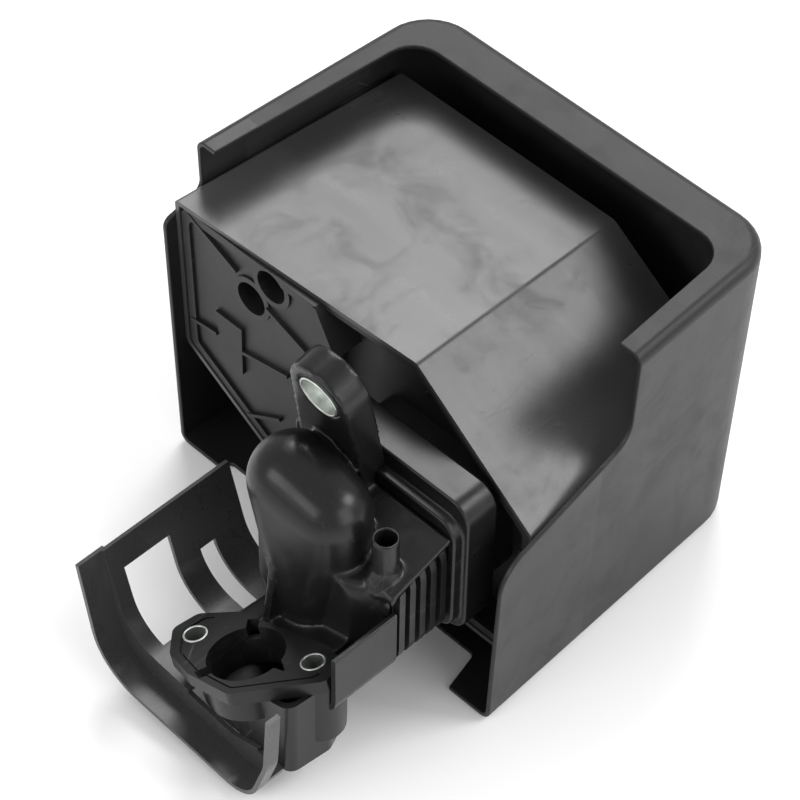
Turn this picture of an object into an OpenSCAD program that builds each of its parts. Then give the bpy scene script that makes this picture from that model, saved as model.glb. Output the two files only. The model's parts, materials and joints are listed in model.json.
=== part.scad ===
// Boxed air cleaner for a small horizontal-shaft engine.
// X runs across the cover, +Y is the closed end of the cover, +Z faces the engine.
// The assembly lies on the outer face of the cover, at z = 0.

/* [Cover] */
// Width of the cover at its closed end
cover_w = 196; // [180:1:240]
// Height of the cover, from its outer face to the rim that faces the engine
cover_h = 160; // [150:1:195]
// Depth of the cover on its long side
cover_d = 160; // [147:1:190]
// Wall of the cover
cover_wall = 2.2; // [2:0.1:4]
// Width of the rim along the two sides, at the closed end
rim_side = 13; // [8:0.5:18]
// Width of the rim along the closed end
rim_back = 21; // [10:0.5:24]
// Length of the rim on the left side
rim_left = 105; // [80:1:115]
// Length of the rim on the right side
rim_right = 66; // [50:1:90]
// Growth of each side towards the open end, in mm per mm
side_flare = 0.045; // [0.03:0.005:0.07]
// Shrink of each side towards the outer face, in mm per mm
side_taper = 0.039; // [0.01:0.002:0.05]
// Radius of the two corners at the closed end
corner_r = 23; // [16:1:32]
// Radius of the long edges of the cover
edge_r = 5; // [4:0.5:10]

/* [Case] */
// Gap between the case and the inside of the cover at the closed end
case_gap = 3.8; // [3:0.1:6]
// Growth of each side of the case towards its front, in mm per mm
case_flare = 0.075; // [0.03:0.005:0.08]
// Set-back of the front edge of the case at the fold
fold_back = 6; // [0:0.5:8]
// Wall of the case
case_wall = 2.2; // [1.6:0.1:3]
// Height of the case
case_h = 122; // [110:1:130]
// Height of the underside of the case above the outer face
case_z = 16; // [10:1:24]
// Width of each sloping side of the case, measured across
slope_w = 71; // [55:1:80]
// Drop of each sloping side
slope_h = 42; // [30:1:50]
// Distance from the rim line back to the front of the base plate
plate_y = 117.6; // [110:1:125]
// Thickness of the base plate
plate_t = 3; // [2:0.2:4]
// Depth of the pocket around the outlet
pocket_d = 13; // [6:1:20]

/* [Intake tubes] */
// Outer radius of each intake tube
tube_r = 10.5; // [9:0.5:12]
// Bore radius of each intake tube
tube_bore_r = 7.8; // [6:0.1:8.2]
// Length of the intake tubes inside the case
tube_len = 26; // [15:1:40]

/* [Duct] */
// Distance of the duct and stud axis from the centre of the cover
duct_x = 36; // [20:1:38]
// Height of the duct and stud axis
duct_z = 73; // [68:1:80]
// Width of the opening of the neck
duct_w = 66; // [60:1:72]
// Height of the opening of the neck
duct_h = 46; // [38:1:52]
// Wall of the neck and of the elbow
duct_wall = 2.4; // [2:0.1:3.2]
// Number of folds in the bellows
fold_n = 5; // [3:1:7]
// Distance from one fold to the next
fold_pitch = 5.6; // [4.5:0.1:7]
// Height of each fold
fold_h = 3; // [2:0.2:4]

/* [Carburettor flange] */
// Distance between the two stud collars
stud_span = 56; // [50:0.5:64]
// Bore of each stud collar
collar_bore = 8.4; // [6.4:0.1:8.8]
// Outer diameter of each stud collar
collar_od = 10.4; // [10:0.1:12]
// Bore of the mouth of the elbow
mouth_bore = 32; // [26:0.5:36]
// Lean of the flange towards the left side, in degrees
flange_lean = 18; // [10:1:25]
// Turn of the stud line in the plane of the flange, in degrees
stud_turn = 15; // [0:1:20]
// Thickness of the flange plate
flange_t = 6; // [4:0.5:9]

/* [Support lug] */
// Outer diameter of the sleeve in the lug
sleeve_od = 19.6; // [14:0.2:21]
// Bore of the sleeve in the lug
sleeve_bore = 17.2; // [12:0.2:19]
// Thickness of the lug
lug_t = 13; // [9:0.5:16]
// Lean of the lug, in degrees
lug_lean = 12; // [0:1:15]

/* [Breather nipple] */
// Outer diameter of the nipple
nipple_od = 11; // [8:0.5:13]
// Bore of the nipple
nipple_bore = 8.6; // [5:0.1:9]
// Height of the nipple
nipple_len = 26; // [20:1:32]

/* [Element] */
// Outer diameter of the foam sleeve
foam_od = 90; // [84:1:91]
// Thickness of the foam sleeve
foam_t = 9; // [6:0.5:12]
// Inner diameter of the paper element
paper_id = 54; // [48:1:56]
// Height of the element
element_h = 84; // [70:1:92]
// Number of pleats
pleat_n = 44; // [30:2:60]

/* [Stud and nuts] */
// Diameter of the stud
stud_d = 6; // [5:0.5:8]
// Running clearance round the stud
fit_gap = 0.3; // [0.2:0.05:0.6]
// Span of the wings of the cover nut
wing_span = 44; // [34:1:56]

/* [Hidden] */
$fn = 64;
soft_fn = 32;

// Places along Y, measured from the inner edge of the rim at the closed end
closed_y = rim_back;
right_y = closed_y - cover_d;
left_y = right_y + 14;
case_back_y = -2;
case_front_y = -plate_y - 2;
pocket_y = -plate_y + pocket_d;
pocket_back_y = pocket_y + plate_t;
neck_y = pocket_y - 21;
frame_y = neck_y - 17;
fold_y = frame_y - 4;
elbow_y = fold_y - fold_n * fold_pitch + 3;

// Heights and widths of the case section
case_top = case_z + case_h;
fold_x = case_half(case_front_y, case_top) - slope_w;

// Flange frame: its origin is midway between the studs, on the flange face
flange_x = duct_x + 0.5;
flange_y = -plate_y - 90;
flange_z = duct_z - 21;
mouth_y = -4;
deck_drop = 2;
collar_deep = 16;

// Outer sections of the duct, whose middle lies beside the stud axis
duct_mid = duct_x + 4.5;
root_w = duct_w + 2 * duct_wall;
root_h = duct_h + 2 * duct_wall;
crest_w = root_w + 2 * fold_h;
crest_h = root_h + 2 * fold_h;
duct_r = 9;

// Element stack along the stud
seal_t = 4;
cap_t = 2.4;
stack_y = pocket_back_y + seal_t;
element_end_y = stack_y + element_h;
core_r = paper_id / 2 - 1;
outlet_r = paper_id / 2 - 4;
paper_r = foam_od / 2 - foam_t - 0.6;
stud_r = stud_d / 2;
nut_w = stud_d * 1.65;
nut_t = stud_d * 0.8;
stud_end_y = closed_y + 22;

// Lug
lug_x = duct_x - 12.5;
lug_y = -plate_y - 42;
lug_z = cover_h - 11;
lug_r = sleeve_od / 2 + 6;

// Nipple
nip_x = duct_x + 32;
nip_y = elbow_y + 4;
nip_z = duct_z + 14;

// Hump of the elbow: balls given as centre and radius, and a foot on the deck
hump_balls = [
    [duct_x - 14, -plate_y - 53, duct_z + 38, 19], [duct_x + 5, -plate_y - 53, duct_z + 34, 17],
    [duct_x + 6, -plate_y - 54, duct_z + 15, 16]
];
hump_foot = [duct_x - 1, -plate_y - 57, flange_z - 10];
foot_r = 12.5;

// Shroud: XZ paths of the front gutter and of the sheet behind it
lip_x = duct_x - 71;
lip_z = flange_z + 12;
shroud_t = 2;
gutter_w = 14;
wall_top = flange_z + 13;

// Shift that puts the middle of the whole box at X = 0 and Y = 0
front_y = flange_y - 28;
gutter_y = front_y + gutter_w;
back_y = stud_end_y;
mid_y = (front_y + back_y) / 2;
mid_x = (cover_half(right_y, cover_h - 68) - cover_half(-rim_left, cover_h - edge_r)) / 2;

function cover_half(y, z) = cover_w / 2 + side_flare * (closed_y - y) - side_taper * (cover_h - z);
function arc(c, r, a0, a1, n = 6) = [for (i = [0:n]) c + r * [cos(a0 + (a1 - a0) * i / n), sin(a0 + (a1 - a0) * i / n)]];
// One corner of an outline, turned into an arc of radius r
function unit(v) = v / norm(v);
function corner(p, q, s, r, n = 6) =
    let (u = unit(p - q), v = unit(s - q), half = acos(u * v) / 2)
    let (run = r / tan(half), mid = unit(u + v), c = q + mid * (r / sin(half)))
    let (a = q + u * run - c, b = q + v * run - c)
    let (start = atan2(a[1], a[0]), turn = atan2(a[0] * b[1] - a[1] * b[0], a * b))
    [for (i = [0:n]) c + r * [cos(start + turn * i / n), sin(start + turn * i / n)]];
function rounded(pts, r, n = 6) =
    [for (i = [0:len(pts) - 1]) each corner(pts[(i + len(pts) - 1) % len(pts)], pts[i], pts[(i + 1) % len(pts)], is_list(r) ? r[i] : r, n)];
// An open path with its inner corners rounded
function path(pts, r, n = 8) =
    [pts[0], each [for (i = [1:len(pts) - 2]) each corner(pts[i - 1], pts[i], pts[i + 1], r[i - 1], n)], pts[len(pts) - 1]];
function normal_at(p, i) = let (a = p[max(i - 1, 0)], b = p[min(i + 1, len(p) - 1)], d = unit(b - a)) [-d[1], d[0]];
function strip(p, t) = concat(p, [for (i = [len(p) - 1:-1:0]) p[i] + t * normal_at(p, i)]);
function box_pts(w, h) = [[-w / 2, -h / 2], [w / 2, -h / 2], [w / 2, h / 2], [-w / 2, h / 2]];

module place() {
    translate([-mid_x, -mid_y, 0]) children();
}
// Draws an XZ outline and extrudes it from y0 to y1
module slab(y0, y1) {
    translate([0, y1, 0]) rotate([90, 0, 0]) linear_extrude(y1 - y0) children();
}
// Draws a YZ outline and extrudes it from x0 to x1
module across(x0, x1) {
    translate([x0, 0, 0]) rotate([90, 0, 90]) linear_extrude(x1 - x0) children();
}
module along(x, z, y0, y1) {
    translate([x, y1, z]) rotate([90, 0, 0]) linear_extrude(y1 - y0) children();
}
module rod(x, z, y0, y1, r) {
    translate([x, y1, z]) rotate([90, 0, 0]) cylinder(h = y1 - y0, r = r);
}
module ring(x, z, y0, y1, r_out, r_in) {
    difference() {
        rod(x, z, y0, y1, r_out);
        rod(x, z, y0 - 1, y1 + 1, r_in);
    }
}
module on_flange() {
    translate([flange_x, flange_y, flange_z]) rotate([0, -flange_lean, 0]) children();
}
module at_studs() {
    for (side = [-1, 1])
        rotate([0, 0, stud_turn]) translate([side * stud_span / 2, 0, 0]) children();
}

// ---- cover ----
module cover_block(inset) {
    edge = edge_r - inset;
    bend = corner_r - edge_r;
    reach = right_y - 30;
    hull() {
        for (side = [-1, 1], z = [edge_r, cover_h - edge_r]) {
            translate([side * (cover_half(closed_y, z) - corner_r), closed_y - corner_r, z])
                rotate_extrude($fn = soft_fn) translate([bend, 0]) intersection() {
                    circle(edge, $fn = soft_fn);
                    translate([0, -edge]) square([edge, 2 * edge]);
                }
            translate([side * (cover_half(reach, z) - edge_r), reach, z])
                sphere(edge, $fn = soft_fn);
        }
    }
}
module rim_opening() {
    out = (side_flare + 0.025) * (-right_y + 40);
    w = cover_half(closed_y, cover_h) - rim_side;
    pts = [[-w, 0], [w, 0], [w + out, right_y - 40], [-w - out, right_y - 40]];
    translate([0, 0, cover_h - edge_r - 10]) linear_extrude(edge_r + 20) polygon(rounded(pts, [14, 14, 1, 1]));
}
module side_cut(x0, x1, start_y, step_z, end_z, end_y, r_in, r_out) {
    far = right_y - 60;
    edge = path([[start_y, cover_h + 20], [start_y, step_z], [end_y, end_z], [end_y, -20]], [r_in, r_out]);
    across(x0, x1) polygon(concat(edge, [[far, -20], [far, cover_h + 20]]));
}
module outer_notch() {
    w = 72;
    notch_y = right_y + 19;
    translate([0, 0, -1]) linear_extrude(cover_wall + edge_r + 4)
        polygon(rounded([[-w, notch_y], [w, notch_y], [w + 6, right_y - 6], [-w - 6, right_y - 6]], [3, 3, 1, 1]));
}
module cover() {
    color("#1b1b1d") place() difference() {
        cover_block(0);
        cover_block(cover_wall);
        rim_opening();
        side_cut(0, cover_w, -rim_right, cover_h - 47, cover_h - 66, right_y, 12, 16);
        side_cut(-cover_w, 0, -rim_left, cover_h - 26, cover_h - 32, left_y, 6, 5);
        outer_notch();
        rod(duct_x, duct_z, closed_y - 12, closed_y + 2, stud_r + 4);
    }
}
module cover_grommet() {
    color("#101010") place() difference() {
        union() {
            rod(duct_x, duct_z, closed_y - cover_wall - 1.6, closed_y - cover_wall, stud_r + 7);
            rod(duct_x, duct_z, closed_y - cover_wall - 1.6, closed_y + 1.6, stud_r + 4);
            rod(duct_x, duct_z, closed_y, closed_y + 1.6, stud_r + 7);
        }
        rod(duct_x, duct_z, closed_y - 10, closed_y + 10, stud_r + fit_gap);
    }
}

// ---- case ----
// Outline of the case at a place along Y, moved in by some distance
function case_pts(y, inset) =
    let (t = case_top - inset, b = case_z + inset, drop = inset * 0.55)
    let (zr = case_top - slope_h - drop, zl = case_z + slope_h + drop)
    [
        [-case_half(y, t) + inset, t],
        [-case_half(y, zl) + inset, zl],
        [-fold_x + inset * 0.28, b],
        [case_half(y, b) - inset, b],
        [case_half(y, zr) - inset, zr],
        [fold_x - inset * 0.28, t]
    ];
function case_half(y, z) =
    cover_w / 2 - cover_wall - case_gap + case_flare * (case_back_y - y) - side_taper * (case_top - z);
function case_radii(inset) = [for (r = [2, 5, 5, 5, 5, 5]) max(r - inset * 0.5, 0.8)];
module case_block(y0, y1, inset) {
    hull() {
        for (y = [y0, y1 - 0.1]) slab(y, y + 0.1) polygon(rounded(case_pts(y, inset), case_radii(inset), 4));
    }
}
// Room in front of the edge of the case, which is set back at the fold
module fold_cut(further) {
    w = cover_w;
    front = case_front_y + further;
    slant = fold_back / (w / 2 + fold_x);
    pts = [[-w / 2, front], [fold_x, front + fold_back], [w / 2, front + slant * 20], [w / 2, front - 20], [-w / 2, front - 20]];
    translate([0, 0, case_top - slope_h - 12]) linear_extrude(slope_h + 40) polygon(pts);
}
module case_shell() {
    color("#3a3a3c") place() difference() {
        case_block(case_front_y, case_back_y, 0);
        case_block(case_front_y - 1, case_back_y + 1, case_wall);
        fold_cut(0);
    }
}
plate_in = case_wall + 0.25;
tube_places = [[-58, 111.5], [-46.3, 127]];
// Edge of the pocket round the outlet
pocket_pts = [
    [-24, case_top + 4], [-9, case_top - 24], [-21, duct_z + 24],
    [-21, case_z - 4], [cover_w, case_z - 4], [cover_w, case_top + 4]
];
module bar(p, q, w) {
    d = q - p;
    translate(p) rotate(atan2(d[1], d[0])) translate([0, -w / 2]) square([norm(d), w]);
}
// Raised ribs on the front of the plate, as pairs of points
ribs = [
    [[-94, 134], [-66, 121]], [[-49, 113], [-25, 104]],
    [[-97, 73], [-79, 75.5]], [[-64, 76], [-37, 82]],
    [[-61.5, 40], [-42, 52]], [[-24, 140], [-9, 114]]
];
pocket_ribs = [
    [[10, 138], [10, 132]], [[44, 133], [26, 111]], [[50, 104], [70, 114]],
    [[80, 92], [88, 89]], [[88, 89], [88, 60]], [[88, 78], [95, 76]], [[60, 24], [60, 40]]
];
module plate_face(inset, y = case_front_y + 5) {
    polygon(rounded(case_pts(y, plate_in + inset), 4, 4));
}
module base_plate() {
    color("#232325") place() difference() {
        union() {
            difference() {
                slab(-plate_y, -plate_y + plate_t) plate_face(0);
                slab(-plate_y - 1, -plate_y + plate_t + 1) intersection() {
                    plate_face(plate_t);
                    polygon(pocket_pts);
                }
            }
            // floor and wall of the pocket
            slab(pocket_y, pocket_back_y) intersection() {
                plate_face(0, pocket_back_y);
                offset_pocket();
            }
            slab(-plate_y + 0.5, pocket_back_y - 0.5) intersection() {
                difference() {
                    plate_face(0.01, pocket_back_y);
                    intersection() {
                        plate_face(plate_t);
                        polygon(pocket_pts);
                    }
                }
                offset_pocket();
            }
            slab(-plate_y - 1.4, -plate_y + 1) intersection() {
                difference() {
                    plate_face(0);
                    plate_face(4);
                }
                square([800, 800], center = true);
            }
            slab(-plate_y - 1.8, -plate_y + 1) intersection() {
                plate_face(1);
                difference() {
                    union() {
                        for (r = ribs) bar(r[0], r[1], 1.6);
                        difference() {
                            translate([-79, 63]) square([15.5, 26.5]);
                            translate([-81, 61]) square([16, 27]);
                        }
                    }
                    polygon([for (p = pocket_pts) p + [2.2, 0]]);
                }
            }
            slab(-plate_y - 0.8, -plate_y + 1) translate([-79, 63]) square([15.5, 26.5]);
            slab(pocket_y - 1.8, pocket_y + 1) intersection() {
                plate_face(plate_t + 1);
                for (r = pocket_ribs) bar(r[0], r[1], 1.6);
            }
            // neck
            along(duct_mid, duct_z, neck_y, pocket_y + 1) polygon(rounded(box_pts(root_w, root_h), duct_r));
            // intake tubes
            slab(-plate_y - 0.9, -plate_y + 2) intersection() {
                plate_face(0);
                for (p = tube_places) translate(p) circle(tube_r);
            }
            slab(-plate_y + 2, -plate_y + tube_len) intersection() {
                plate_face(3);
                for (p = tube_places) translate(p) circle(tube_r - 0.6);
            }
            ring(duct_x, duct_z, pocket_back_y - 1, pocket_back_y + 2.5, outlet_r + 2, outlet_r);
        }
        intersection() {
            fold_cut(0.6);
            slab(-plate_y - 10, -plate_y + 30) polygon(pocket_pts);
        }
        difference() {
            along(duct_mid, duct_z, neck_y - 1, pocket_y) polygon(rounded(box_pts(duct_w, duct_h), duct_r - 2));
            rod(duct_x, duct_z, pocket_y - 14, pocket_y + 1, stud_r + 5);
            for (a = [0, 90]) translate([duct_x, pocket_y - 5, duct_z]) rotate([0, a, 0])
                cube([3, 12, duct_w * 2], center = true);
        }
        difference() {
            rod(duct_x, duct_z, pocket_y - 1, pocket_back_y + 4, outlet_r);
            rod(duct_x, duct_z, pocket_y - 14, pocket_back_y, stud_r + 5);
            for (a = [0, 90]) translate([duct_x, pocket_y, duct_z]) rotate([0, a, 0])
                cube([3, 6, outlet_r * 3], center = true);
        }
        rod(duct_x, duct_z, pocket_y - 20, pocket_back_y + 6, stud_r);
        for (p = tube_places) rod(p[0], p[1], -plate_y - 9, -plate_y + tube_len + 1, tube_bore_r);
    }
}
module offset_pocket() {
    polygon([for (p = pocket_pts) p + [p[0] < 0 ? -2.4 : 0, 0]]);
}
module cover_seal() {
    color("#2a2a2a") place() difference() {
        slab(case_back_y - 8, case_back_y - 2) polygon(rounded(case_pts(case_back_y, case_wall + 0.4), 4, 4));
        slab(case_back_y - 9, case_back_y) polygon(rounded(case_pts(case_back_y, case_wall + 2), 4, 4));
    }
}

// ---- element ----
module foam_sleeve() {
    color("#4a4d4b") place()
        ring(duct_x, duct_z, stack_y + cap_t + 0.3, element_end_y - cap_t - 0.3, foam_od / 2, foam_od / 2 - foam_t);
}
module paper_pleats() {
    r_in = paper_id / 2;
    star = [for (i = [0:2 * pleat_n - 1]) let (a = 180 * i / pleat_n, r = i % 2 == 0 ? paper_r : paper_r - 2.5) r * [cos(a), sin(a)]];
    color("#c9b27c") place() difference() {
        along(duct_x, duct_z, stack_y + cap_t, element_end_y - cap_t) polygon(star);
        rod(duct_x, duct_z, stack_y, element_end_y, r_in);
    }
}
module core_tube() {
    color("#9a9ca0") place()
        ring(duct_x, duct_z, stack_y + cap_t, element_end_y - cap_t, paper_id / 2 - 0.2, core_r);
}
module element_cap(y0, hole_r) {
    place() difference() {
        rod(duct_x, duct_z, y0, y0 + cap_t, foam_od / 2);
        rod(duct_x, duct_z, y0 - 1, y0 + cap_t + 1, hole_r);
    }
}
module inner_cap() {
    color("#26282a") element_cap(stack_y, outlet_r + 2.4);
}
module outer_cap() {
    color("#26282a") element_cap(element_end_y - cap_t, stud_r + fit_gap);
}
module element_seal() {
    color("#151515") place() ring(duct_x, duct_z, pocket_back_y, stack_y, foam_od / 2 - 4, outlet_r + 2.4);
}

// ---- stud and nuts ----
module hex_nut(y0, w, h, hole_r) {
    difference() {
        translate([duct_x, y0 + h, duct_z]) rotate([90, 0, 0]) cylinder(h = h, r = w / sqrt(3), $fn = 6);
        rod(duct_x, duct_z, y0 - 1, y0 + h + 1, hole_r);
    }
}
module wing_nut(y0, span, boss_r, h) {
    difference() {
        union() {
            rod(duct_x, duct_z, y0, y0 + h, boss_r);
            for (side = [0, 1]) translate([duct_x, 0, duct_z]) rotate([0, side * 180, 0])
                slab(y0 + 1, y0 + h + 3) hull() {
                    translate([boss_r - 1, -1.3]) square([1, 2.6]);
                    translate([span / 2 - 1.3, 0]) circle(1.3, $fn = soft_fn);
                }
        }
        rod(duct_x, duct_z, y0 - 1, y0 + h + 8, stud_r + 0.02);
    }
}
module center_stud() {
    color("#a8abae") place() {
        rod(duct_x, duct_z, pocket_y - 18, stud_end_y, stud_r - 0.02);
    }
}
module stud_lock_nut() {
    color("#8e9094") place() hex_nut(pocket_y - 14 - nut_t, nut_w, nut_t, stud_r);
}
module element_washer() {
    color("#a5a7aa") place() ring(duct_x, duct_z, element_end_y, element_end_y + 1.2, stud_r * 3, stud_r + fit_gap);
}
module element_nut() {
    color("#9b9da1") place() wing_nut(element_end_y + 1.2, wing_span * 0.6, stud_r + 2.4, 5);
}
module cover_washer() {
    color("#a5a7aa") place() ring(duct_x, duct_z, closed_y + 1.6, closed_y + 3, stud_r + 6, stud_r + fit_gap);
}
module cover_nut() {
    color("#161616") place() wing_nut(closed_y + 3, wing_span, stud_r + 5, 12);
}

// ---- duct ----
module collar_block() {
    along(duct_x, duct_z + 3, frame_y + 5, neck_y + 4) polygon(rounded(box_pts(root_w + 22, root_h + 23), 10));
    along(duct_x, duct_z + 1, frame_y, frame_y + 6) polygon(rounded(box_pts(root_w + 17, root_h + 11), 9));
}
module collar_frame() {
    color("#1d1d1f") place() difference() {
        collar_block();
        along(duct_mid, duct_z, frame_y - 1, neck_y + 5) polygon(rounded(box_pts(root_w + 0.4, root_h + 0.4), duct_r));
    }
}
module bellows() {
    color("#141414") place() difference() {
        union() {
            along(duct_mid, duct_z, elbow_y, neck_y - 0.1) polygon(rounded(box_pts(root_w, root_h), duct_r));
            for (i = [0:fold_n - 1]) translate([0, -i * fold_pitch, 0])
                along(duct_mid, duct_z - fold_h / 2, fold_y - 1.5, fold_y + 1.5)
                    polygon(rounded(box_pts(crest_w, crest_h - fold_h), duct_r + 2));
        }
        along(duct_mid, duct_z, elbow_y - 1, neck_y + 1) polygon(rounded(box_pts(duct_w, duct_h), duct_r - 2));
        roof_slab(crest_w, elbow_y - 2, neck_y + 2, 0, 40);
    }
}

// Outer shape of the hollow hump of the elbow, moved in by a wall
module hump(inset) {
    hull() {
        for (b = hump_balls) translate([b[0], b[1], b[2]]) sphere(b[3] - inset, $fn = soft_fn);
        translate(hump_foot) cylinder(h = 3, r = foot_r - inset, $fn = soft_fn);
    }
}
// Passage from the bellows into the hump
throat_drop = 9;
module throat(inset) {
    hull() {
        along(duct_mid, duct_z - throat_drop / 2, elbow_y - 2, elbow_y - 0.2)
            polygon(rounded(box_pts(root_w - 2 * inset, root_h - throat_drop - 2 * inset), duct_r - inset));
        along(duct_x + 1, duct_z - throat_drop / 2, elbow_y - 10 + inset, elbow_y - 9 + inset)
            polygon(rounded(box_pts(50 - 2 * inset, root_h - throat_drop - 2 * inset), duct_r - inset));
    }
}
// Underside of the roof that slopes over the bellows
function roof_z(y) = duct_z + crest_h / 2 - 4.5 + 0.3 * (y - frame_y);
module roof_slab(x_out, y0, y1, low, high) {
    across(duct_mid - x_out, duct_mid + x_out)
        polygon([[y0, roof_z(y0) + low], [y1, roof_z(y1) + low], [y1, roof_z(y1) + high], [y0, roof_z(y0) + high]]);
}
module deck() {
    pts = [[-26, 8], [-24, 30], [-16, 36.5], [22, 36.5], [27, 28], [28, 12]];
    on_flange() translate([0, 0, -flange_t]) linear_extrude(flange_t - deck_drop) difference() {
        polygon(rounded(pts, 4));
        polygon(rounded([for (p = flange_pts) p * 1.01], 5));
    }
}
module lug_solid() {
    translate([lug_x, lug_y, lug_z]) rotate([lug_lean, 0, 0]) slab(0, lug_t) hull() {
        circle(lug_r, $fn = soft_fn);
        translate([-20, -54]) square([34, 12]);
    }
}
module gusset() {
    foot = flange_z - 5;
    front = hump_foot[1] - 18;
    across(hump_foot[0] - 10, hump_foot[0] - 6)
        polygon([[front, foot], [front + 12, foot], [front + 12, foot + 46], [front + 6, foot + 44]]);
}
module elbow_upper() {
    color("#1a1a1c") place() difference() {
        union() {
            difference() {
                union() {
                    hump(0);
                    throat(0);
                    deck();
                    roof_slab(crest_w / 2, elbow_y - 3, frame_y - 0.2, -2, duct_wall);
                    lug_solid();
                    translate([nip_x, nip_y, nip_z]) cylinder(h = nipple_len, r = nipple_od / 2);
                    translate([nip_x, nip_y, nip_z]) cylinder(h = 8, r1 = nipple_od / 2 + 4, r2 = nipple_od / 2);
                }
                hump(duct_wall);
                throat(duct_wall);
            }
            gusset();
        }
        translate([nip_x, nip_y, nip_z - 10]) cylinder(h = nipple_len + 20, r = nipple_bore / 2);
        translate([lug_x, lug_y, lug_z]) rotate([lug_lean, 0, 0]) rod(0, 0, -1, lug_t + 1, sleeve_od / 2);
        // room for the bellows, the collar and the lower half
        roof_slab(crest_w, elbow_y - 0.1, neck_y, -80, 0);
        collar_block();
        on_flange() translate([-90, -60, -flange_t - 60]) cube([200, 60 + body_back - flange_y, 60]);
    }
}

// Walls of the lower half, seen from above, and the floor between them
flank_x = duct_mid + crest_w / 2;
flank_top = duct_z + 6;
flank_floor = duct_z - crest_h / 2;
body_front = gutter_y;
body_back = elbow_y - 11;
body_z = flange_z - 36;
boss_r = 11;
boss_x = flange_x + stud_span / 2 * cos(stud_turn) * cos(flange_lean) + collar_deep * 0.6 * sin(flange_lean);
boss_y = flange_y + stud_span / 2 * sin(stud_turn);
plug_x = flange_x - 5;
plug_z = flange_z - 28;
module flank() {
    pts = [
        [flank_x - 30, flank_floor], [flank_x, flank_floor], [flank_x, flank_top], [flank_x - duct_wall, flank_top],
        [flank_x - duct_wall, flank_floor + duct_wall], [flank_x - 30, flank_floor + duct_wall]
    ];
    slab(flange_y + 3, elbow_y - 0.3) polygon(rounded(pts, [1, duct_r, 0.8, 0.8, duct_r - duct_wall, 1], 6));
}
module body_outline(inset) {
    x0 = flange_x - 26;
    x1 = flank_x - 8;
    polygon(rounded([
        [x0 + inset, body_front + inset], [x1 - inset, body_front + inset],
        [x1 + 2 - inset, flange_y + 6], [x1 - 6 - inset, body_back - inset], [x0 + inset, body_back - inset]
    ], [17 - inset, 5, 6, 8 - inset, 9 - inset]));
}
module elbow_lower() {
    color("#202022") place() difference() {
        union() {
            flank();
            difference() {
                union() {
                    difference() {
                        translate([0, 0, body_z]) linear_extrude(60) body_outline(0);
                        translate([0, 0, body_z + duct_wall]) linear_extrude(60) body_outline(duct_wall);
                    }
                    translate([boss_x, boss_y, flange_z - 25]) cylinder(h = 60, r = boss_r);
                }
                on_flange() translate([-90, -60, -flange_t]) cube([200, 140, 80]);
            }
            on_flange() translate([0, mouth_y, -flange_t - 12]) cylinder(h = 12, r = mouth_bore / 2 + 3);
            on_flange() rotate([0, 0, stud_turn]) translate([-stud_span / 2, 0, -flange_t - 13])
                cylinder(h = 12.8, r = 9.4);
        }
        on_flange() translate([0, mouth_y, -flange_t - 13]) cylinder(h = 20, r = mouth_bore / 2);
        on_flange() at_studs() translate([0, 0, -collar_deep]) cylinder(h = 80, r = collar_od / 2);
        rod(plug_x, plug_z, body_front - 5, body_front + 6, 3);
    }
}

// ---- flange ----
flange_pts = [[-38, -10], [-27, -21], [-11, -25], [12, -24.5], [40, 2], [38, 14], [24, 17], [-22, 12], [-36, 2]];
module flange_plate() {
    color("#19191b") place() on_flange() difference() {
        translate([0, 0, -flange_t]) linear_extrude(flange_t) polygon(rounded(flange_pts, 5));
        translate([0, 0, -0.8]) linear_extrude(2) difference() {
            polygon(rounded([for (p = flange_pts) p * 0.88], 5));
            polygon(rounded([for (p = flange_pts) p * 0.85], 5));
            translate([-50, 4]) square([100, 40]);
        }
        translate([0, mouth_y, -flange_t - 1]) cylinder(h = flange_t + 2, r = mouth_bore / 2);
        for (a = [130, 10, 250]) translate([0, mouth_y, -flange_t - 1]) rotate([0, 0, a])
            translate([mouth_bore / 2 - 3, -2.5, 0]) cube([8, 5, flange_t + 2]);
        at_studs() translate([0, 0, -flange_t - 1]) cylinder(h = flange_t + 2, r = collar_od / 2);
    }
}
module stud_collars() {
    color("#c8ccc8") place() on_flange() at_studs() difference() {
        translate([0, 0, -collar_deep]) cylinder(h = collar_deep + 0.4, r = collar_od / 2);
        translate([0, 0, -collar_deep - 1]) cylinder(h = collar_deep + 3, r = collar_bore / 2);
    }
}
module lug_sleeve() {
    color("#c8ccc8") place() translate([lug_x, lug_y, lug_z]) rotate([lug_lean, 0, 0])
        ring(0, 0, -0.4, lug_t + 0.4, sleeve_od / 2, sleeve_bore / 2);
}
module drain_plug() {
    color("#2c2c2e") place() {
        rod(plug_x, plug_z, body_front - 1.2, body_front + duct_wall, 3);
        rod(plug_x, plug_z, body_front - 1.8, body_front - 1.2, 2);
    }
}

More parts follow.
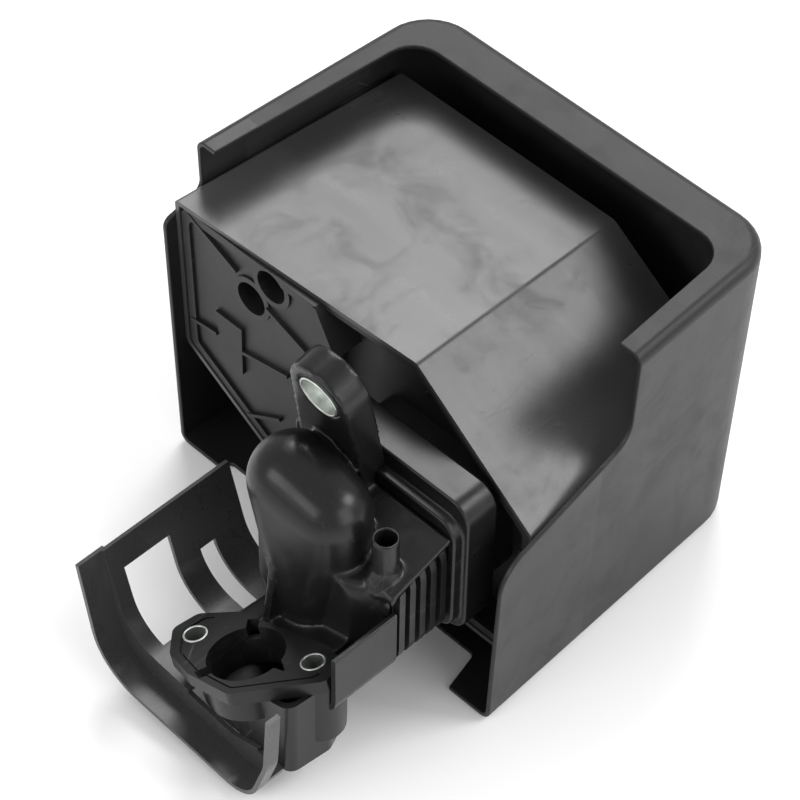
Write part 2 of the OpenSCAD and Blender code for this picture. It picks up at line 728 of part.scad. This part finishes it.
// ---- shroud ----
gutter_path = path([
    [lip_x, lip_z], [lip_x + 11, lip_z - 55], [lip_x + 98, lip_z - 61], [lip_x + 108, lip_z - 30], [lip_x + 110, wall_top]
], [26, 17, 30]);
sheet_path = path([[lip_x + 1, lip_z], [lip_x + 14, lip_z - 43], [lip_x + 50, lip_z - 46.5]], [24]);
shroud_back_y = -plate_y - 39;
module shroud() {
    step = concat(sheet_path, [[lip_x + 75, lip_z - 49], [lip_x + 104, lip_z - 40], [lip_x + 106, lip_z - 12]]);
    color("#1c1c1e") place() difference() {
        union() {
            slab(front_y, gutter_y) polygon(strip(gutter_path, shroud_t));
            slab(gutter_y - shroud_t, shroud_back_y) polygon(strip(sheet_path, shroud_t));
            slab(gutter_y - shroud_t, gutter_y)
                polygon(concat(gutter_path, [for (i = [len(step) - 1:-1:0]) step[i]]));
        }
        // room for the lower half of the elbow
        translate([0, 0, body_z]) linear_extrude(60) body_outline(0);
        // the end wall is shallower than the rest of the gutter
        translate([lip_x + 90, front_y + 6, lip_z - 46]) cube([40, gutter_w, 90]);
        // large window, with a rib beside it, and the narrow window
        translate([lip_x - 5, gutter_y + 5, lip_z - 45]) cube([33, 24, 33]);
        translate([lip_x - 5, gutter_y + 41, lip_z - 48]) cube([45, 8, 21]);
    }
}

cover();
case_shell();
base_plate();
cover_seal();
foam_sleeve();
paper_pleats();
core_tube();
inner_cap();
outer_cap();
element_seal();
center_stud();
stud_lock_nut();
element_nut();
element_washer();
cover_nut();
cover_washer();
cover_grommet();
collar_frame();
bellows();
elbow_upper();
elbow_lower();
flange_plate();
stud_collars();
lug_sleeve();
drain_plug();
shroud();
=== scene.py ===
import bpy
import json
import math
from mathutils import Vector, Matrix

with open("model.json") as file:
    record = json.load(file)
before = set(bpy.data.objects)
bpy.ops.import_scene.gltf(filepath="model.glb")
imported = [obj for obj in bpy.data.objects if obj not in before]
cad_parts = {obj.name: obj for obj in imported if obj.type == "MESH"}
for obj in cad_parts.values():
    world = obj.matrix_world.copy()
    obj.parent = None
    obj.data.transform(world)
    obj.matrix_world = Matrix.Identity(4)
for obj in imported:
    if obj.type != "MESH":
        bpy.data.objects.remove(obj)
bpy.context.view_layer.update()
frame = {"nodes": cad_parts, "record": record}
nodes = frame["nodes"]


# ---- materials -------------------------------------------------------------
def add(tree, kind, place, **inputs):
    """A node with some of its inputs set by name"""
    node = tree.nodes.new(kind)
    node.location = place
    for name, value in inputs.items():
        node.inputs[name].default_value = value
    return node


def mix_rgb(tree, factor, a, b, blend="MIX"):
    node = tree.nodes.new("ShaderNodeMix")
    node.data_type = "RGBA"
    node.blend_type = blend
    for socket, value in ((node.inputs[0], factor), (node.inputs[6], a), (node.inputs[7], b)):
        if isinstance(value, bpy.types.NodeSocket):
            tree.links.new(value, socket)
        else:
            socket.default_value = value
    return node.outputs[2]


def math_node(tree, op, a, b=0.0, c=0.0, clamp=False):
    node = tree.nodes.new("ShaderNodeMath")
    node.operation = op
    node.use_clamp = clamp
    for socket, value in zip(node.inputs, (a, b, c)):
        if isinstance(value, bpy.types.NodeSocket):
            tree.links.new(value, socket)
        else:
            socket.default_value = value
    return node.outputs[0]


def ramp(tree, value, low, high):
    """Smooth step from 0 at low to 1 at high"""
    node = tree.nodes.new("ShaderNodeMapRange")
    node.interpolation_type = "SMOOTHSTEP"
    tree.links.new(value, node.inputs["Value"])
    node.inputs["From Min"].default_value = low
    node.inputs["From Max"].default_value = high
    return node.outputs["Result"]


def noise(tree, vector, scale, detail=4.0, rough=0.55, distortion=0.0):
    settings = {"Scale": scale, "Detail": detail, "Roughness": rough, "Distortion": distortion}
    node = add(tree, "ShaderNodeTexNoise", (-700, 0), **settings)
    tree.links.new(vector, node.inputs["Vector"])
    return node.outputs["Fac"]


def stretched(tree, vector, scale):
    node = tree.nodes.new("ShaderNodeMapping")
    node.inputs["Scale"].default_value = scale
    tree.links.new(vector, node.inputs["Vector"])
    return node.outputs["Vector"]


def new_material(name):
    mat = bpy.data.materials.new(name)
    mat.use_nodes = True
    tree = mat.node_tree
    shader = tree.nodes["Principled BSDF"]
    coord = tree.nodes.new("ShaderNodeTexCoord").outputs["Object"]
    return mat, tree, shader, coord


def bump(tree, shader, heights):
    """heights: (value, strength, distance in metres), chained into one normal"""
    last = None
    for value, strength, distance in heights:
        node = add(tree, "ShaderNodeBump", (-200, -300), Strength=strength, Distance=distance)
        tree.links.new(value, node.inputs["Height"])
        if last:
            tree.links.new(last, node.inputs["Normal"])
        last = node.outputs["Normal"]
    tree.links.new(last, shader.inputs["Normal"])


def scratches(tree, coord, scale, angle, width=0.012):
    """Thin straight marks: ridges of a stretched cell pattern, kept only in patches"""
    node = tree.nodes.new("ShaderNodeMapping")
    node.inputs["Rotation"].default_value = (0.4, 0.3, angle)
    node.inputs["Scale"].default_value = (scale, scale * 0.045, scale * 0.35)
    tree.links.new(coord, node.inputs["Vector"])
    cells = tree.nodes.new("ShaderNodeTexVoronoi")
    cells.feature = "DISTANCE_TO_EDGE"
    cells.inputs["Scale"].default_value = 1.0
    tree.links.new(node.outputs["Vector"], cells.inputs["Vector"])
    line = ramp(tree, cells.outputs["Distance"], width, 0.0)
    patch = ramp(tree, noise(tree, coord, 22.0, 3.0), 0.56, 0.66)
    return math_node(tree, "MULTIPLY", line, patch)


def plastic(name, color, rough, grain=0.0, grain_scale=1900.0, flow=0.10, dust=0.15, smear=0.08,
            waves=0.00025, shine=0.5, marks=0.5, smooth_front=None):
    """Dark moulded plastic with tone drift, smears, dust, scratches, sink waves and an optional grain"""
    mat, tree, shader, coord = new_material(name)
    shader.inputs["Specular IOR Level"].default_value = shine
    drift = noise(tree, coord, 9.0, 3.0)
    streak = noise(tree, stretched(tree, coord, (14.0, 60.0, 14.0)), 1.0, 4.0, 0.6)
    smudge = noise(tree, coord, 34.0, 6.0, 0.62, 0.6)
    fine = noise(tree, coord, 420.0, 2.0)
    specks = ramp(tree, noise(tree, coord, 900.0, 1.0), 0.70, 0.78)
    light = [min(1.0, c * (1 + 2.2 * flow) + 0.004) for c in color] + [1]
    base = mix_rgb(tree, ramp(tree, drift, 0.35, 0.7), list(color) + [1], light)
    smear_share = math_node(tree, "MULTIPLY", ramp(tree, smudge, 0.5, 0.75), dust)
    base = mix_rgb(tree, smear_share, base, (0.075, 0.073, 0.07, 1))
    base = mix_rgb(tree, math_node(tree, "MULTIPLY", specks, dust * 0.9), base, (0.2, 0.2, 0.19, 1))
    scuff = scratches(tree, coord, 260.0, 0.5)
    scuff = math_node(tree, "MAXIMUM", scuff, scratches(tree, coord, 190.0, 1.9))
    base = mix_rgb(tree, math_node(tree, "MULTIPLY", scuff, marks * 0.5), base, (0.16, 0.16, 0.155, 1))
    front = None
    if smooth_front is not None:
        parts = tree.nodes.new("ShaderNodeSeparateXYZ")
        tree.links.new(coord, parts.inputs["Vector"])
        front = math_node(tree, "LESS_THAN", parts.outputs["Y"], smooth_front)
        base = mix_rgb(tree, math_node(tree, "MULTIPLY", front, 0.45), base, [c * 0.55 for c in color] + [1])
    tree.links.new(base, shader.inputs["Base Color"])
    r = math_node(tree, "MULTIPLY_ADD", streak, smear, rough - smear * 0.5)
    r = math_node(tree, "MULTIPLY_ADD", scuff, 0.12, r)
    if front is not None:
        r = math_node(tree, "MULTIPLY_ADD", front, -0.07, r)
    r = math_node(tree, "MULTIPLY_ADD", ramp(tree, smudge, 0.45, 0.8), smear * 1.4, r)
    r = math_node(tree, "MULTIPLY_ADD", fine, 0.04, r, clamp=True)
    tree.links.new(r, shader.inputs["Roughness"])
    shader.inputs["IOR"].default_value = 1.49
    heights = [(noise(tree, coord, 26.0, 2.0), 0.6, waves), (noise(tree, coord, 260.0, 3.0), 0.25, 0.00006)]
    if grain:
        fleck = noise(tree, coord, grain_scale, 2.0, 0.5)
        if front is not None:
            fleck = math_node(tree, "MULTIPLY", fleck, math_node(tree, "MULTIPLY_ADD", front, -0.85, 1.0))
        heights.append((fleck, 1.0, grain))
    heights.append((scuff, -0.6 * marks, 0.00004))
    bump(tree, shader, heights)
    return mat


def metal(name, color, rough, tarnish=(0.30, 0.33, 0.28), amount=0.35, brush=(60.0, 60.0, 900.0)):
    """Zinc-plated steel: turned marks, a dull greenish bloom and small scuffs"""
    mat, tree, shader, coord = new_material(name)
    bloom = ramp(tree, noise(tree, coord, 130.0, 5.0, 0.6), 0.42, 0.66)
    marks = noise(tree, stretched(tree, coord, brush), 1.0, 3.0)
    base = mix_rgb(tree, math_node(tree, "MULTIPLY", bloom, amount), list(color) + [1], list(tarnish) + [1])
    base = mix_rgb(tree, math_node(tree, "MULTIPLY", marks, 0.25), base, [c * 0.75 for c in color] + [1])
    tree.links.new(base, shader.inputs["Base Color"])
    shader.inputs["Metallic"].default_value = 1.0
    r = math_node(tree, "MULTIPLY_ADD", marks, 0.14, rough - 0.05)
    r = math_node(tree, "MULTIPLY_ADD", bloom, 0.16, r, clamp=True)
    tree.links.new(r, shader.inputs["Roughness"])
    bump(tree, shader, [(marks, 0.35, 0.00004), (noise(tree, coord, 700.0, 3.0), 0.25, 0.00003)])
    return mat


def rubber(name, color, rough=0.62):
    """Matte rubber with a faint bloom"""
    mat, tree, shader, coord = new_material(name)
    bloom = ramp(tree, noise(tree, coord, 60.0, 5.0, 0.6), 0.45, 0.7)
    base = mix_rgb(tree, math_node(tree, "MULTIPLY", bloom, 0.4), list(color) + [1], (0.06, 0.06, 0.058, 1))
    tree.links.new(base, shader.inputs["Base Color"])
    r = math_node(tree, "MULTIPLY_ADD", noise(tree, coord, 180.0, 3.0), 0.18, rough - 0.08, clamp=True)
    tree.links.new(r, shader.inputs["Roughness"])
    bump(tree, shader, [
        (noise(tree, coord, 90.0, 3.0), 0.4, 0.0002),
        (noise(tree, coord, 1500.0, 2.0), 0.8, 0.00006),
    ])
    return mat


def foam_material(name, color):
    """Open-cell foam: pale cell walls with painted shade darkening the pore holes between them, and oily
    patches
    """
    mat, tree, shader, coord = new_material(name)
    cells = tree.nodes.new("ShaderNodeTexVoronoi")
    cells.inputs["Scale"].default_value = 620.0
    tree.links.new(coord, cells.inputs["Vector"])
    pores = ramp(tree, cells.outputs["Distance"], 0.15, 0.6)
    oil = ramp(tree, noise(tree, coord, 30.0, 4.0), 0.4, 0.7)
    # painted shade: the colour is darkened to a fifth in each pore, standing in for the shade inside the
    # holes; the same mask also gives the pore depth to the bump
    base = mix_rgb(tree, pores, [c * 0.2 for c in color] + [1], list(color) + [1])
    base = mix_rgb(tree, math_node(tree, "MULTIPLY", oil, 0.5), base, [c * 0.55 for c in color] + [1])
    tree.links.new(base, shader.inputs["Base Color"])
    tree.links.new(math_node(tree, "MULTIPLY_ADD", oil, -0.2, 0.95), shader.inputs["Roughness"])
    bump(tree, shader, [(pores, 1.0, 0.0006), (noise(tree, coord, 70.0, 3.0), 0.5, 0.0006)])
    return mat


def paper_material(name, color):
    """Filter paper with long fibres and some dirt"""
    mat, tree, shader, coord = new_material(name)
    fibre = noise(tree, stretched(tree, coord, (900.0, 240.0, 900.0)), 1.0, 5.0, 0.65)
    dirt = ramp(tree, noise(tree, coord, 40.0, 5.0, 0.6), 0.5, 0.75)
    base = mix_rgb(tree, fibre, [c * 0.82 for c in color] + [1], list(color) + [1])
    base = mix_rgb(tree, math_node(tree, "MULTIPLY", dirt, 0.3), base, (0.30, 0.25, 0.18, 1))
    tree.links.new(base, shader.inputs["Base Color"])
    tree.links.new(math_node(tree, "MULTIPLY_ADD", fibre, 0.12, 0.8), shader.inputs["Roughness"])
    bump(tree, shader, [(fibre, 0.6, 0.0002)])
    return mat


# ---- assign materials ------------------------------------------------------
# place along Y where the outside of the cover turns from smooth to grained
GRAIN_EDGE = 0.0143
cover_mat = plastic("cover_plastic", (0.013, 0.013, 0.0135), 0.40, grain=0.00008, flow=0.12, dust=0.10,
                    smear=0.10, shine=0.34, smooth_front=GRAIN_EDGE)
case_mat = plastic("case_plastic", (0.034, 0.034, 0.034), 0.27, flow=0.16, dust=0.16, smear=0.12,
                   waves=0.0004)
plate_mat = plastic("plate_plastic", (0.010, 0.010, 0.0105), 0.42, flow=0.10, dust=0.16, smear=0.10,
                    shine=0.40)
duct_mat = plastic("duct_plastic", (0.005, 0.005, 0.0052), 0.27, flow=0.10, dust=0.08, smear=0.12, shine=0.36)
shroud_mat = plastic("shroud_plastic", (0.034, 0.034, 0.035), 0.25, flow=0.10, dust=0.16, smear=0.14)
plug_mat = plastic("plug_plastic", (0.045, 0.045, 0.046), 0.30)
knob_mat = plastic("knob_plastic", (0.014, 0.014, 0.014), 0.38)
sleeve_mat = metal("sleeve_steel", (0.66, 0.69, 0.66), 0.30, brush=(900.0, 900.0, 60.0))
stud_mat = metal("stud_steel", (0.60, 0.60, 0.62), 0.28, tarnish=(0.36, 0.34, 0.26),
                 brush=(60.0, 900.0, 60.0))
core_mat = metal("core_metal", (0.62, 0.63, 0.64), 0.34, brush=(60.0, 900.0, 60.0))
rubber_mat = rubber("seal_rubber", (0.016, 0.016, 0.016))
cap_mat = rubber("cap_rubber", (0.024, 0.024, 0.026), 0.5)
foam_mat = foam_material("foam", (0.060, 0.064, 0.060))
paper_mat = paper_material("filter_paper", (0.66, 0.54, 0.31))

SLOTS = {
    "cover_plastic": cover_mat,
    "case_plastic": case_mat,
    "plate_plastic": plate_mat,
    "duct_plastic": duct_mat,
    "shroud_plastic": shroud_mat,
    "plug_plastic": plug_mat,
    "knob_plastic": knob_mat,
    "sleeve_steel": sleeve_mat,
    "stud_steel": stud_mat,
    "core_metal": core_mat,
    "seal_rubber": rubber_mat,
    "cap_rubber": cap_mat,
    "foam": foam_mat,
    "filter_paper": paper_mat,
}
slot_of = {part["node"]: part["material_slot"] for part in frame["record"]["subparts"]}


def paint(obj, mat):
    obj.data.materials.clear()
    obj.data.materials.append(mat)


for name, obj in nodes.items():
    paint(obj, SLOTS[slot_of[name]])


# ---- edges and moulded blends ----------------------------------------------
WELD_DISTANCE = 0.000002
FLAT_ANGLE = math.radians(0.6)
EDGE_ANGLE = math.radians(34)
SKIN_VOXEL = 0.00095
SKIN_PASSES = 7


def soften(obj, width, segments=2):
    """Joins the facets of a piece, flattens its flat faces and rounds its sharp edges"""
    weld = obj.modifiers.new("weld", "WELD")
    weld.merge_threshold = WELD_DISTANCE
    flat = obj.modifiers.new("flat", "DECIMATE")
    flat.decimate_type = "DISSOLVE"
    flat.angle_limit = FLAT_ANGLE
    edge = obj.modifiers.new("edge", "BEVEL")
    edge.limit_method = "ANGLE"
    edge.angle_limit = EDGE_ANGLE
    edge.width = width
    edge.segments = segments
    edge.harden_normals = False
    edge.miter_outer = "MITER_ARC"
    for face in obj.data.polygons:
        face.use_smooth = True
    level = obj.modifiers.new("level", "WEIGHTED_NORMAL")
    level.keep_sharp = True


def mould(obj, voxel, passes):
    """Blends the joints of an organic piece into one moulded skin"""
    skin = obj.modifiers.new("skin", "REMESH")
    skin.mode = "VOXEL"
    skin.voxel_size = voxel
    skin.use_smooth_shade = True
    blend = obj.modifiers.new("blend", "SMOOTH")
    blend.factor = 0.5
    blend.iterations = passes


# width of the rounded edges of each node, in metres
WIDTHS = {
    "case_shell": 0.0007, "collar_frame": 0.0012, "bellows": 0.0008, "flange_plate": 0.0005,
    "stud_collars": 0.00035, "lug_sleeve": 0.00045, "shroud": 0.0005, "cover": 0.0006,
    "elbow_lower": 0.0009, "cover_nut": 0.0007, "element_nut": 0.0005, "cover_washer": 0.0002,
    "element_washer": 0.0002, "inner_cap": 0.0005, "outer_cap": 0.0005, "stud_lock_nut": 0.0003,
    "center_stud": 0.0004, "cover_grommet": 0.0004, "drain_plug": 0.0002,
}
for name, width in WIDTHS.items():
    soften(nodes[name], width)
mould(nodes["elbow_upper"], SKIN_VOXEL, SKIN_PASSES)


# ---- camera ----------------------------------------------------------------
scene = bpy.context.scene
cam_data = bpy.data.cameras.new("camera")
camera = bpy.data.objects.new("camera", cam_data)
scene.collection.objects.link(camera)
scene.camera = camera
SENSOR_MM, LENS_MM = 36.0, 153.4
SHIFT_X, SHIFT_Y = -0.00375, -0.00875
AZIMUTH, ELEVATION, ROLL = 44.208, 47.765, 1.183
CAMERA_PLACE = Vector((0.643443, -0.65482, 1.09532))
CLIP_END = 30
cam_data.sensor_width = SENSOR_MM
cam_data.lens = LENS_MM
cam_data.shift_x = SHIFT_X
cam_data.shift_y = SHIFT_Y
azimuth, elevation, roll = math.radians(AZIMUTH), math.radians(ELEVATION), math.radians(ROLL)
back = Vector((
    math.sin(azimuth) * math.cos(elevation),
    -math.cos(azimuth) * math.cos(elevation),
    math.sin(elevation),
))
right = Vector((math.cos(azimuth), math.sin(azimuth), 0))
up = back.cross(right)
turn = Matrix.Rotation(roll, 3, back)
right, up = turn @ right, turn @ up
spin = Matrix((right, up, back)).transposed()
camera.matrix_world = Matrix.Translation(CAMERA_PLACE) @ spin.to_4x4()
cam_data.clip_end = CLIP_END


# ---- floor and light -------------------------------------------------------
FLOOR_HALF = 6.0
FLOOR_DROP = 0.0003


def stage_floor():
    """A pale floor a hair below the part"""
    mesh = bpy.data.meshes.new("floor")
    size = FLOOR_HALF
    corners = [(-size, -size, 0), (size, -size, 0), (size, size, 0), (-size, size, 0)]
    mesh.from_pydata(corners, [], [(0, 1, 2, 3)])
    obj = bpy.data.objects.new("floor", mesh)
    scene.collection.objects.link(obj)
    obj.location.z = -FLOOR_DROP
    mat, tree, shader, coord = new_material("floor")
    tone = noise(tree, coord, 3.0, 2.0)
    base = mix_rgb(tree, tone, (0.93, 0.93, 0.93, 1), (0.97, 0.97, 0.97, 1))
    tree.links.new(base, shader.inputs["Base Color"])
    shader.inputs["Roughness"].default_value = 0.85
    obj.data.materials.append(mat)


def area_light(name, place, target, size_x, size_y, power):
    """A rectangular soft light that faces the target; power in watts"""
    data = bpy.data.lights.new(name, "AREA")
    data.shape = "RECTANGLE"
    data.size, data.size_y = size_x, size_y
    data.energy = power
    obj = bpy.data.objects.new(name, data)
    scene.collection.objects.link(obj)
    obj.location = place
    obj.rotation_euler = (Vector(target) - Vector(place)).to_track_quat("-Z", "Y").to_euler()


SKY_STRENGTH = 0.70
LIT_POINT = (0.0, 0.0, 0.08)
# name, place, width, height, power
LIGHTS = [
    ("key", (-0.75, 0.85, 1.5), 0.9, 0.7, 17.0),
    ("slope", (1.15, 1.1, 1.65), 0.9, 0.9, 19.0),
    ("side", (1.3, 0.0, 0.7), 0.8, 1.0, 6.0),
    ("front", (-0.3, -1.4, 0.9), 1.0, 0.6, 7.0),
]

stage_floor()
world = bpy.data.worlds.new("world")
scene.world = world
world.use_nodes = True
sky = world.node_tree.nodes["Background"]
sky.inputs["Color"].default_value = (1.0, 1.0, 1.0, 1.0)
sky.inputs["Strength"].default_value = SKY_STRENGTH
for name, light_place, size_x, size_y, power in LIGHTS:
    area_light(name, light_place, LIT_POINT, size_x, size_y, power)
scene.view_settings.view_transform = "Standard"
scene.view_settings.look = "None"
